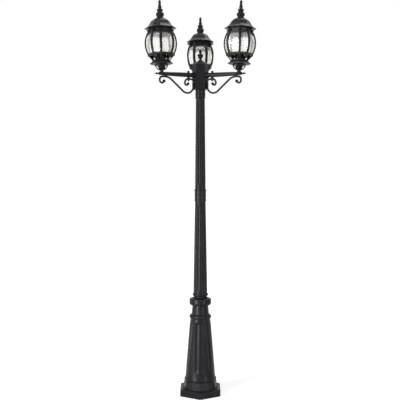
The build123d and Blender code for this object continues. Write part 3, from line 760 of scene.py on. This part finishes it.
def hoodPart():
    h = hood
    low, lip, wall, sink = h["low"], h["low"] + h["lip"], h["wall"], h["sink"]
    brim, shoulder, top = (h["corner"], lip), h["shoulder"], h["top"]
    innerBrim = (brim[0] - 2 * wall, lip)
    innerShoulder = (shoulder[0] - wall, shoulder[1] - sink)
    innerTop = (top[0] - wall, top[1] - wall - sink)
    outline = outlineOf(
        (h["mouth"], low), (h["corner"], low), brim,
        (between(brim, shoulder, h["flare"]), shoulder), (between(shoulder, top, h["dome"]), top),
        (h["hole"], top[1]), (h["hole"], innerTop[1]), innerTop,
        (between(innerShoulder, innerTop, h["innerDome"]), innerShoulder),
        (between(innerBrim, innerShoulder, h["innerFlare"]), innerBrim), (h["mouth"], lip),
    )
    return faceted(outline, True)


addCastings({"hood": hoodPart()}, True)
print("hoods cast")


# Strap across the frieze with the threaded rod that holds the hood

strap = {
    "half": 0.0565,
    "width": 0.012,
    "low": 0.2235,
    "thick": 0.003,
    "rodRadius": 0.0030,
    "rodTop": 0.3225,
    "rodSides": 20,
    "pitch": 0.0015,
    "threadDepth": 0.00035,
    "threadFoot": 0.290,
    "threadSteps": 174,
}


def strapParts():
    # the rod's radius is a cosine of height and angle together, which makes a single-start thread
    d = strap
    middle = d["low"] + d["thick"] / 2
    plate = bar(straight((-d["half"], middle), (d["half"], middle)), d["width"], d["thick"])
    angle = roundAngles(d["rodSides"])[None]
    thread = np.linspace(d["threadFoot"], d["rodTop"], d["threadSteps"])
    height = np.concatenate([[d["low"] + d["thick"]], thread])[:, None]
    cut = np.cos(2 * math.pi * height / d["pitch"] - angle) * 0.5 + 0.5
    radius = d["rodRadius"] - d["threadDepth"] * cut * (height > d["threadFoot"])
    grid = np.stack([radius * np.cos(angle), radius * np.sin(angle), height + 0 * angle], -1)
    return joined([plate, capped(grid)])


def addStraps():
    part = strapParts()
    crease = smoothing["strapCrease"]
    for lantern in lanterns:
        node = "hood_strap_" + lantern
        addPiece("threaded_strap_" + lantern, part, "post", "black_coat", lantern, [node], crease=crease)


addStraps()
print("straps and rods threaded")


# Finial: a fluted vase, a disc, a ring and a rod with a point

finial = {
    "low": 0.3072,
    "profile": (  # from the finial's foot
        (0, 0), (0.0270, 0), (0.0270, 0.001), ((0.0201, 0.004869), (0.0175, 0.01082)),
        ((0.0225, 0.020017), (0.0146, 0.035706)), (0.0138, 0.038952), (0.0164, 0.042198), (0.0164, 0.050854),
        (0.0144, 0.053559), (0.0100, 0.0541), (0.0080, 0.057346), ((0.0106, 0.065461), (0.0076, 0.072494)),
        (0.0072, 0.084396), (0.0076, 0.098462), (0.0034, 0.100626), (0.0030, 0.104954), (0, 0.1082),
    ),
    "sides": 96,
    "flutes": 8,
    "fluteDepth": 0.0024,
    "fluteShape": 0.8,  # the power of the cosine
    "fluteSpan": (0.013, 0.035),  # above the foot
}


def finialPart():
    # the turned outline, less a row of hollows: a power of the angle's cosine times a sine of the height
    f = finial
    points, faces = turned(outlineOf(*f["profile"]) + (0, f["low"]), around=f["sides"])
    start, end = f["fluteSpan"]
    share = np.clip((points[:, 2] - f["low"] - start) / (end - start), 0, 1)
    ridge = np.clip(np.cos(f["flutes"] * np.arctan2(points[:, 1], points[:, 0])), 0, 1) ** f["fluteShape"]
    hollow = ridge * np.sin(math.pi * share) * f["fluteDepth"]
    radius = np.hypot(points[:, 0], points[:, 1])
    keep = 1 - hollow / np.maximum(radius, 1e-4)
    return points * np.stack([keep, keep, np.ones_like(keep)], -1), faces


addCastings({"finial": finialPart()}, True)
print("finials turned")


# Scrolls: round bar bent to a curl that ends in a ball, in the arm's own plane

scroll = {
    "bar": 0.0055,
    "hubFace": 0.0412,
    "boltReach": 0.079,
    "eyeHeight": -0.022,
    "eye": (0.0032, 0.008),
    "eyeHalf": 0.008,  # half its height
    "eyeSides": 32,
    "short": {"curl": 0.025, "end": 0.0105, "drop": 0.0005, "ball": 0.0085, "root": 0.0105},
    "long": {"curl": 0.018, "end": 0.0135, "drop": 0.004, "ball": 0.009, "past": -0.004},
    "sweep": 165.0,  # degrees, from the curl's side to its ball
    "leg": (0.0482, -0.043),
    "bowl": (0.042, 0.1035),
    "slope": 41.1,
    "bend": 0.060,
    "levelLeast": 0.001,  # between the bend and the curl
    "topHeight": -0.0155,
    "pad": (-0.072, -0.041, 0.014),
}


def polar(centre, radius, degrees):
    angle = math.radians(degrees)
    return (centre[0] + radius * math.cos(angle), centre[1] + radius * math.sin(angle))


def bend(centre, radius, first, last):  # an arc's step from one angle to another
    return (polar(centre, radius, (first + last) / 2), polar(centre, radius, last))


def curl(top, kind):  # outward, down and in to the ball
    radius, end, sweep = kind["curl"], kind["end"], -scroll["sweep"]
    centre = (top[0], top[1] - radius)
    low = (top[0] + radius - end, centre[1] - kind["drop"])
    side = (top[0] + radius, low[1])
    return [bend(centre, radius, 90, 0), side, bend(low, end, 0, sweep)], polar(low, end, sweep)


def fromArm(parts):  # from the arm's frame, which starts at the post's axis, to the lantern's
    return moved(joined(parts), -armReach)


def shortScroll():
    s, kind = scroll, scroll["short"]
    top = (s["boltReach"], s["eyeHeight"])
    span = s["boltReach"] - s["hubFace"]
    radius = (span**2 + kind["root"] ** 2) / (2 * kind["root"])
    centre = (top[0], top[1] - radius)
    first = 90 + math.degrees(math.asin(span / radius))
    steps, end = curl(top, kind)
    path = outlineOf(polar(centre, radius, first), bend(centre, radius, first, 90), *steps)
    eye = turned(box(*s["eye"], top[1] - s["eyeHalf"], top[1] + s["eyeHalf"]), True, s["eyeSides"])
    return fromArm([rod(path, s["bar"]), ball(end, kind["ball"]), moved(eye, top[0])])


def longScroll():
    s, kind = scroll, scroll["long"]
    legX, legTop = s["leg"]
    bowlRadius, depth = s["bowl"]
    bowl = (legX + bowlRadius, -depth + bowlRadius)
    lowAngle = -90 + s["slope"]
    highAngle = 90 + s["slope"]
    leave = polar(bowl, bowlRadius, lowAngle)
    cornerX = leave[0] + (s["topHeight"] - leave[1]) / math.tan(math.radians(s["slope"]))
    back = s["bend"] * math.tan(math.radians(s["slope"] / 2))
    bendCentre = (cornerX + back, s["topHeight"] - s["bend"])
    top = (max(armReach + kind["past"], cornerX + back + s["levelLeast"]), s["topHeight"])
    steps, end = curl(top, kind)
    path = outlineOf(
        (legX, legTop), (legX, bowl[1]), bend(bowl, bowlRadius, -180, lowAngle),
        polar(bendCentre, s["bend"], highAngle), bend(bendCentre, s["bend"], highAngle, 90), top, *steps,
    )
    low, high, width = s["pad"]
    middle = 0.5 * (s["hubFace"] + legX)
    pad = bar(straight((middle, low), (middle, high)), width, legX - s["hubFace"])
    return fromArm([rod(path, s["bar"]), ball(end, kind["ball"]), pad])


addCastings({"short_scroll": shortScroll(), "long_scroll": longScroll()})
print("scrolls bent")


# Finial on the hub: an urn and a bud

hubFinial = {
    "low": 1.920,
    "profile": (  # from the finial's foot
        (0, 0), (0.0137, 0), (0.0137, 0.004), ((0.0080, 0.00825), (0.0065, 0.01575)),
        ((0.01462, 0.02625), (0.0170, 0.0375)), (0.0155, 0.04125), (0.0070, 0.043875), (0.0050, 0.04725),
        ((0.0095, 0.0555), (0.00589, 0.0645)), (0, 0.075),
    ),
}


def addHubFinial():
    part = turned(outlineOf(*hubFinial["profile"]) + (0, hubFinial["low"]))
    crease = smoothing["castCrease"]
    addPiece("cast_hub_finial", part, "post", "black_coat", None, ["hub_finial"], crease=crease)


addHubFinial()
print("hub finial turned")


# Panes: eight bent sheets in the cage, each with a bevel round an arched window

pane = {
    "inset": 0.00465,
    "thick": 0.0030,
    "thin": 0.0018,  # at the sheet's edge
    "low": 0.1103,
    "high": 0.2182,
    "gap": 0.0005,
    "bevel": 0.0060,
    "bevelSteps": 5,
    "acrossSteps": 13,
    "upSteps": 25,
    "overSteps": 4,  # from the arch to the sheet's top
    "archTop": 0.0035,  # below the sheet's top
    "archRise": 0.0075,
    "sideBand": 0.0120,  # width of the tint beside a rib
    "close": 1e-6,  # heights this near are equal
}


def inside(count):  # shares of the way between 0 and 1, without the ends
    return np.linspace(0, 1, count + 2)[1:-1]


def paneSheet(halfDegrees):
    # rows climb the sheet and columns cross it: heights run from the foot to the arch and on to the top,
    # the outer face is a side of the barrel less the bevel's depth, the inner face one thickness further in
    p = pane
    half = math.radians(halfDegrees)
    bevel, edges = p["bevel"], p["bevelSteps"]
    wide, tall, over = p["acrossSteps"], p["upSteps"], p["overSteps"]
    steps = np.linspace(0, bevel, edges)
    near = np.concatenate([steps, np.full(wide, bevel), bevel + steps])
    share = np.concatenate([np.zeros(edges), inside(wide), np.ones(edges)])
    nearUp = np.concatenate([steps, np.full(tall, bevel), bevel + steps, np.full(over, 2 * bevel)])[:, None]
    shareUp = np.concatenate([np.zeros(edges), inside(tall), np.ones(edges + over)])[:, None]
    beyond = np.concatenate([np.zeros(2 * edges + tall), np.linspace(0, 1, over + 1)[1:]])[:, None]
    middle = barrelCorner(0.5 * (p["low"] + p["high"]), p["inset"]) * math.sin(half)
    across = (near + share * 2 * (middle - bevel)) / middle - 1
    arch = p["high"] - p["archTop"] - p["archRise"] * across**2
    height = p["low"] + nearUp + shareUp * (arch - p["low"] - 2 * bevel) + beyond * (p["high"] - arch)
    points = []
    for inset in (p["inset"], p["inset"] + p["thick"]):
        reach = barrelCorner(height, inset) * math.cos(half)
        edge = reach * math.tan(half) - p["gap"] / math.cos(half)
        y = -edge + near + share * 2 * (edge - bevel)
        room = np.minimum(np.minimum(edge - np.abs(y), height - p["low"]), arch - height)
        full = np.clip(room / bevel, 0, 1)
        if inset == p["inset"]:
            reach = reach - (1 - full) * (p["thick"] - p["thin"])
            # the ground band over the arch, which the material makes rougher and paints with shade
            ground = np.where(arch - height < p["close"], 1.0, 0).ravel()
            side = np.clip(1 - (edge - np.abs(y)) / p["sideBand"], 0, 1).ravel()
        points.append(np.stack([reach, y, height], -1).reshape(-1, 3))
    rows, columns = height.shape
    quads = gridFaces(rows, columns)
    count = rows * columns
    index = np.arange(count).reshape(rows, columns)
    rim = np.concatenate([index[0], index[1:, -1], index[-1, -2::-1], index[-2:0:-1, 0]])
    after = np.roll(rim, -1)
    sides = np.stack([rim, after, after + count, rim + count], -1)
    faces = np.concatenate([quads, quads[:, ::-1] + count, sides])
    marks = (np.tile(ground, 2), np.tile(side, 2), np.repeat((1.0, 0.0), count))
    return (np.concatenate(points), faces), dict(zip(paneMarks, marks))


def addPanes():
    wide, narrow = paneSheet(cage["wideHalf"]), paneSheet(45 - cage["wideHalf"])
    sheets = [(wide, 90 * k) for k in range(4)] + [(narrow, 90 * k + 45) for k in range(4)]
    part = joined([spun(sheet, turn) for (sheet, _), turn in sheets])
    marks = {key: np.concatenate([marks[key] for (_, marks), _ in sheets]) for key in paneMarks}
    for lantern in lanterns:
        node = "panes_" + lantern
        addPiece("bevelled_" + node, part, "post", "clear_glass", lantern, [node], marks)


addPanes()
print("panes bent and bevelled")


# Bulbs: a thin blown shell, a pressed glass mount, and a hairpin filament on two leads

bulb = {
    "foot": 0.1087,  # height of the shell's foot above the arm's axis
    "length": 0.0859,
    "neck": 0.0120,
    "radius": 0.01745,
    "wall": 0.0007,
    "belly": 0.36,  # share of the length
    "tipShape": 0.82,  # the power of the cosine
    "hole": (0.004, 0.0004),  # radius, and how far its inner edge is above the foot
    "shellSteps": 44,
    "mountHeight": 0.030,
    "mountFoot": 0.0006,  # above the shell's
    "mountRadius": (0.0040, 0.0030),  # at the pinch, and what the foot adds
    "mountPinch": 0.62,
    "mountSteps": 14,
    "mountSides": 24,
    "leadGap": 0.0055,
    "leadFoot": (0.45, 0.004),  # share of the gap, and depth in the mount
    "leadTip": (1.5, 0.016),  # share of the gap, and height above the mount
    "leadSteps": 12,
    "wire": 0.0003,
    "coil": 0.0009,
    "coilWire": 0.6,  # share of the lead's
    "coilArch": 0.0075,
    "coilSides": 5,
    "turns": 26,
    "turnSteps": 10,
}


def bulbShell():
    # the radius grows from the neck to the shoulder on a sine, then closes to the tip on a power of a cosine
    b = bulb
    hole, holeRise = b["hole"]
    t = np.linspace(0, 1, b["shellSteps"])
    rise = b["neck"] + (b["radius"] - b["neck"]) * np.sin(np.clip(t / b["belly"], 0, 1) * math.pi / 2)
    tail = np.clip((t - b["belly"]) / (1 - b["belly"]), 0, 1)
    fall = b["radius"] * np.cos(tail * math.pi / 2) ** b["tipShape"]
    outer = np.where(t < b["belly"], rise, fall)
    inner = np.clip(outer - b["wall"], 0, None)
    height = b["foot"] + b["length"] * t
    innerHeight = height - b["wall"] * t**3
    radius = np.concatenate([[hole], outer, inner[::-1][1:], [hole]])
    heights = np.concatenate([[height[0]], height, innerHeight[::-1][1:], [height[0] + holeRise]])
    return turned(np.stack([radius, heights], -1), True)


def bulbMount():
    # a glass foot that narrows to a flat pinch
    b = bulb
    pinch, flare = b["mountRadius"]
    t = np.linspace(0, 1, b["mountSteps"])
    radius = np.concatenate([[0], pinch + flare * (1 - t) ** 2, [0]])
    height = b["foot"] + b["mountFoot"] + b["mountHeight"] * np.concatenate([[0], t, [1]])
    points, faces = turned(np.stack([radius, height], -1), around=b["mountSides"])
    squeeze = 1 - b["mountPinch"] * np.clip((points[:, 2] - b["foot"]) / b["mountHeight"], 0, 1) ** 2
    return points * np.stack([np.ones_like(squeeze), squeeze, np.ones_like(squeeze)], -1), faces


def bulbWires():
    # two leads that lean out, and between their tips a coil wound along an arch
    b = bulb
    (footShare, footDepth), (tipShare, tipRise) = b["leadFoot"], b["leadTip"]
    top = b["foot"] + b["mountHeight"]
    tipHeight, tipGap = top + tipRise, b["leadGap"] * tipShare
    parts = []
    for sign in (-1, 1):
        t = np.linspace(0, 1, b["leadSteps"])[:, None]
        start = np.array([sign * b["leadGap"] * footShare, 0, top - footDepth])
        end = np.array([sign * tipGap, 0, tipHeight])
        parts.append(tube(start + (end - start) * t, b["wire"]))
    t = np.linspace(0, 1, b["turns"] * b["turnSteps"])
    arch = tipHeight + b["coilArch"] * np.sin(math.pi * t)
    centre = np.stack([-tipGap + 2 * tipGap * t, np.zeros_like(t), arch], -1)
    turn = 2 * math.pi * b["turns"] * t
    coil = centre + b["coil"] * np.stack([np.zeros_like(t), np.cos(turn), np.sin(turn)], -1)
    parts.append(tube(coil, b["wire"] * b["coilWire"], b["coilSides"]))
    return joined(parts)


def addBulbs():
    for lantern in lanterns:
        body, node = "bulb_" + lantern, "bulb_glass_" + lantern
        addPiece("bulb_shell_" + lantern, bulbShell(), body, "bulb_glass", lantern, [node])
        addPiece("bulb_mount_" + lantern, bulbMount(), body, "bulb_glass", lantern)
        addPiece("filament_" + lantern, bulbWires(), body, "screw_steel", lantern, finish=wireFinish)


addBulbs()
print("bulbs blown")


# Studio: white floor and backdrop, two tall soft boxes in front, one above, one behind and a low one

studio = {
    "ambient": 0.22,
    "floor": 0.80,
    "floorHalf": 60.0,
    "glow": (0.45, 0.53),  # of the floor as the camera sees it: by the post, and what the distance adds
    "fade": (1.2, 4.0),  # metres from the post over which the floor turns to the backdrop's white
    "boxes": {
        "left": {"place": (-3.6, -2.9, 1.8), "size": (0.55, 3.6), "watts": 170},
        "right": {"place": (2.9, -3.6, 1.8), "size": (0.45, 3.6), "watts": 90},
        "top": {"place": (-0.6, -1.6, 4.8), "size": (2.4, 1.4), "watts": 50},
        "behind": {"place": (0.8, 1.2, 4.5), "size": (2.0, 2.0), "watts": 45},
        "low": {"place": (-1.25, -1.55, 0.65), "size": (0.4, 0.8), "watts": 26, "aim": (0, 0, 0.12)},
    },
    "aim": (0, 0, 1.2),
}


def addFloor():
    half = studio["floorHalf"]
    near, far = studio["glow"]
    mesh = bpy.data.meshes.new("floor")
    corners = [(-half, -half, 0), (half, -half, 0), (half, half, 0), (-half, half, 0)]
    mesh.from_pydata(corners, [], [(0, 1, 2, 3)])
    floor = addObject("floor", mesh)
    s = Shader("studio_floor")
    away = s.add("ShaderNodeVectorMath", {"operation": "LENGTH"}, {0: s.place()}, "Value")
    paper = s.add("ShaderNodeBsdfDiffuse", None, {"Color": (studio["floor"],) * 3 + (1,)})
    strength = s.seen() * (away.ramp(*studio["fade"]) * far + near)
    glow = s.add("ShaderNodeEmission", None, {"Strength": strength})
    mesh.materials.append(s.finish(s.add("ShaderNodeAddShader", None, {0: paper, 1: glow})))


def addLights():
    for name, box in studio["boxes"].items():
        data = bpy.data.lights.new(name, "AREA")
        data.shape = "RECTANGLE"
        data.size, data.size_y = box["size"]
        data.energy = box["watts"]
        obj = addObject(name, data)
        obj.location = box["place"]
        aim = Vector(box.get("aim", studio["aim"])) - Vector(box["place"])
        obj.rotation_euler = aim.to_track_quat("-Z", "Y").to_euler()


def addWorld():
    world = bpy.data.worlds.new("studio")
    bpy.context.scene.world = world
    s = Shader("studio", world)
    strength = s.seen() * (1 - studio["ambient"]) + studio["ambient"]
    sky = s.add("ShaderNodeBackground", None, {"Color": (1, 1, 1, 1), "Strength": strength})
    s.finish(sky, "ShaderNodeOutputWorld")


addFloor()
addLights()
addWorld()
bpy.context.scene.view_settings.view_transform = "Standard"
print("studio lit")
